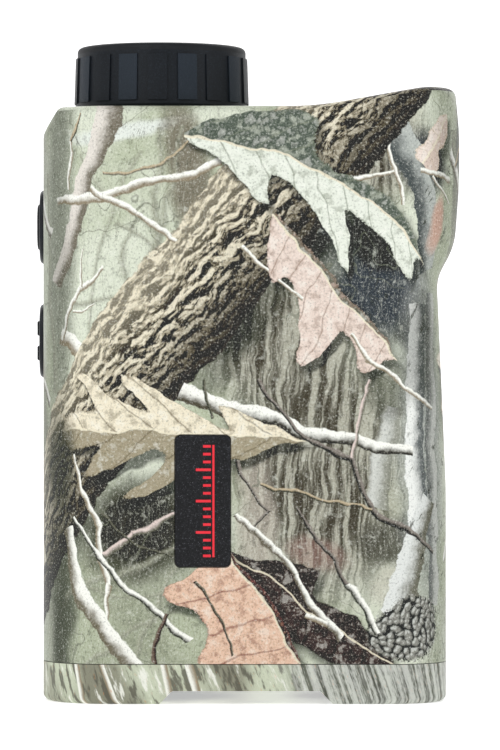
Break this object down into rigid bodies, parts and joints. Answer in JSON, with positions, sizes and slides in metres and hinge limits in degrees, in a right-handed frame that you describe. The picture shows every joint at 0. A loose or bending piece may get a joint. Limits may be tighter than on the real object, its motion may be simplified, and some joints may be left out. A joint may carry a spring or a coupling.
{
  "type": "laser rangefinder",
  "caption": "Compact hand-held laser rangefinder monocular with a printed woodland body, focusing eyepiece ring, two side keys, screw battery cap and tripod socket.",
  "frame": {"origin": "centre of the footprint, on the plane that the front bezel stands on", "axes": "+Z along the optical axis from the objective towards the eye, -X towards the keys, +X towards the grip hump, -Y towards the badge side"},
  "size_m": [0.0716, 0.038, 0.1105],
  "materials": {
    "printed_shell": "satin woodland print",
    "printed_bezel": "satin woodland print",
    "seal_rubber": "matte",
    "badge_black": "fine sparkle grain",
    "scale_red": "satin",
    "steel": "machined",
    "spring_steel": "bright",
    "brass": "machined",
    "black_anodised": "matte anodised",
    "plate_aluminium": "brushed",
    "coated_glass": "multi-coated",
    "laser_glass": "red filter coating",
    "clear_glass": "polished",
    "circuit_board": "solder mask",
    "inner_plastic": "moulded",
    "ribbon_amber": "polyimide",
    "ring_plastic": "fine moulded grain",
    "soft_rubber": "matte",
    "key_plastic": "satin",
    "battery_wrap": "printed foil sleeve"
  },
  "bodies": {
    "casing": {"left_shell": "printed_shell", "right_shell": "printed_shell", "front_bezel": "printed_bezel", "front_gasket": "seal_rubber", "side_badge": "badge_black", "badge_scale": "scale_red", "bezel_screws": "steel", "strap_pin": "steel", "tripod_insert": "brass", "objective_barrel": "black_anodised", "objective_retainer": "black_anodised", "objective_front_lens": "coated_glass", "objective_rear_lens": "clear_glass", "objective_seal": "seal_rubber", "laser_barrel": "black_anodised", "laser_retainer": "black_anodised", "laser_lens": "laser_glass", "laser_seal": "seal_rubber", "laser_diode": "steel", "laser_board": "circuit_board", "prism_housing": "black_anodised", "prism_cover": "black_anodised", "prism_clips": "spring_steel", "half_penta_prism": "clear_glass", "roof_prism": "clear_glass", "receiver_diode": "steel", "receiver_board": "circuit_board", "display_holder": "inner_plastic", "reticle_display": "clear_glass", "display_flex": "ribbon_amber", "eyepiece_barrel": "black_anodised", "ring_clip": "spring_steel", "power_key_surround": "key_plastic", "mode_key_surround": "key_plastic", "power_switch": "inner_plastic", "mode_switch": "inner_plastic", "key_board": "circuit_board", "main_board": "circuit_board", "board_chips": "inner_plastic", "chassis_plate": "plate_aluminium", "chassis_screws": "steel", "battery": "battery_wrap", "battery_tube": "inner_plastic", "battery_spring": "spring_steel"},
    "diopter_ring": {"diopter_ring": "ring_plastic", "eyecup": "soft_rubber"},
    "ocular_cell": {"ocular_cell": "black_anodised", "field_lens": "clear_glass", "field_retainer": "black_anodised", "eye_lens": "coated_glass", "eye_retainer": "black_anodised", "cam_pin": "steel"},
    "power_key": {"power_key": "soft_rubber"},
    "power_plunger": {"power_switch_plunger": "inner_plastic"},
    "mode_key": {"mode_key": "soft_rubber"},
    "mode_plunger": {"mode_switch_plunger": "inner_plastic"},
    "battery_cap": {"battery_cap": "key_plastic", "battery_cap_seal": "seal_rubber", "battery_cap_contact": "brass"}
  },
  "joints": [
    {"name": "diopter_turn", "type": "hinge", "parent": "casing", "child": "diopter_ring", "pos_m": [-0.0146, 0, 0.1045], "axis": [0, 0, 1], "range_deg": [-69, 69]},
    {"name": "ocular_travel", "type": "slide", "parent": "casing", "child": "ocular_cell", "axis": [0, 0, 1], "range_m": [-0.00138, 0.00138]},
    {"name": "power_press", "type": "slide", "parent": "casing", "child": "power_key", "axis": [1, 0, 0], "range_m": [0, 0.0005], "stiffness_N_per_m": 1600, "springref_m": -0.0005},
    {"name": "power_plunger_travel", "type": "slide", "parent": "casing", "child": "power_plunger", "axis": [1, 0, 0], "range_m": [0, 0.0005]},
    {"name": "mode_press", "type": "slide", "parent": "casing", "child": "mode_key", "axis": [1, 0, 0], "range_m": [0, 0.0005], "stiffness_N_per_m": 1600, "springref_m": -0.0005},
    {"name": "mode_plunger_travel", "type": "slide", "parent": "casing", "child": "mode_plunger", "axis": [1, 0, 0], "range_m": [0, 0.0005]},
    {"name": "battery_cap_turn", "type": "hinge", "parent": "casing", "child": "battery_cap", "pos_m": [0.019, 0, 0.0975], "axis": [0, 0, 1], "range_deg": [0, 360]}
  ],
  "couplings": [
    {"joint": "diopter_turn", "follows": "ocular_travel", "rad_per_m": -872.66},
    {"joint": "power_plunger_travel", "follows": "power_press", "ratio": 1},
    {"joint": "mode_plunger_travel", "follows": "mode_press", "ratio": 1}
  ]
}
